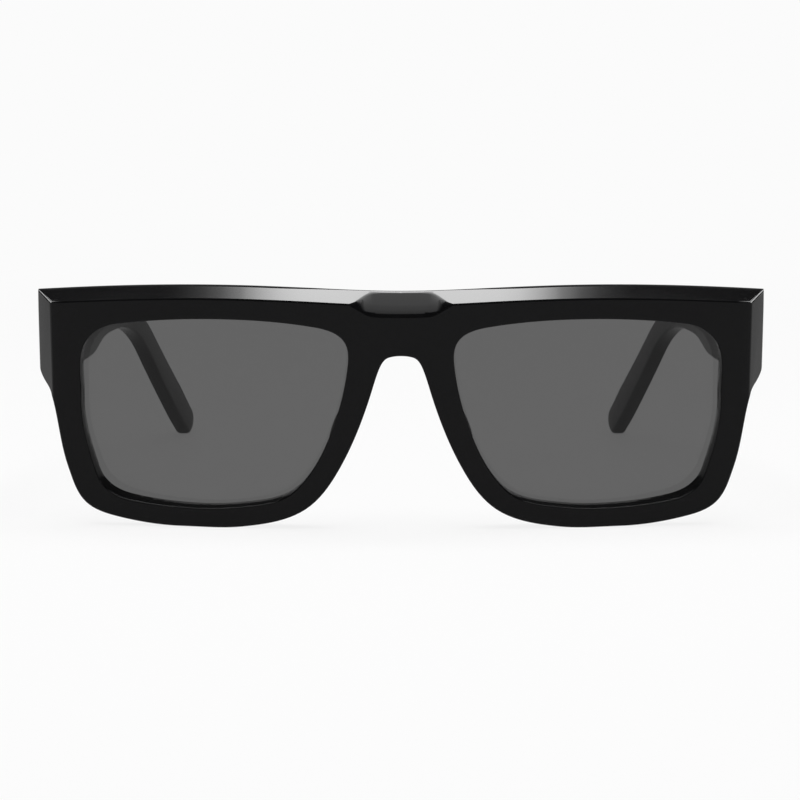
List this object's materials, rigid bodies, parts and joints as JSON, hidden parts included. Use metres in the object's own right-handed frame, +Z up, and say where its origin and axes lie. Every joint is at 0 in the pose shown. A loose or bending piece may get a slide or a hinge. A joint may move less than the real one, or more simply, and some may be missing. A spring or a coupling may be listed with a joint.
{
  "type": "rectangular sunglasses",
  "caption": "Thick flat-top rectangular acetate sunglasses with tinted lenses and temples that fold on barrel hinges.",
  "frame": {"origin": "centre of the table area that the open glasses cover, on the table, under the feet of the rims and the temple tips", "axes": "+Z up, the lenses face -Y and the temples run back towards +Y, +X towards the wearer's left"},
  "size_m": [0.1464, 0.154, 0.0498],
  "materials": {
    "front_acetate": "polished black acetate",
    "temple_acetate": "polished black acetate",
    "pad_acetate": "tumbled black acetate",
    "lens_tint": "smooth neutral grey tint",
    "nickel_silver": "tumbled nickel silver",
    "screw_steel": "turned steel"
  },
  "bodies": {
    "front": {"front_frame": "front_acetate", "lens_left": "lens_tint", "lens_right": "lens_tint", "nose_pad_left": "pad_acetate", "nose_pad_right": "pad_acetate", "hinge_front_leaf_left": "nickel_silver", "hinge_front_leaf_right": "nickel_silver", "hinge_screw_left": "screw_steel", "hinge_screw_right": "screw_steel"},
    "temple_left": {"temple_left": "temple_acetate", "core_wire_left": "nickel_silver", "hinge_temple_leaf_left": "nickel_silver"},
    "temple_right": {"temple_right": "temple_acetate", "core_wire_right": "nickel_silver", "hinge_temple_leaf_right": "nickel_silver"}
  },
  "joints": [
    {"name": "fold_left", "type": "hinge", "parent": "front", "child": "temple_left", "pos_m": [0.067, -0.05793, 0.0389], "axis": [0, 0, 1], "range_deg": [0, 82]},
    {"name": "fold_right", "type": "hinge", "parent": "front", "child": "temple_right", "pos_m": [-0.067, -0.05793, 0.0389], "axis": [0, 0, -1], "range_deg": [0, 75]}
  ]
}
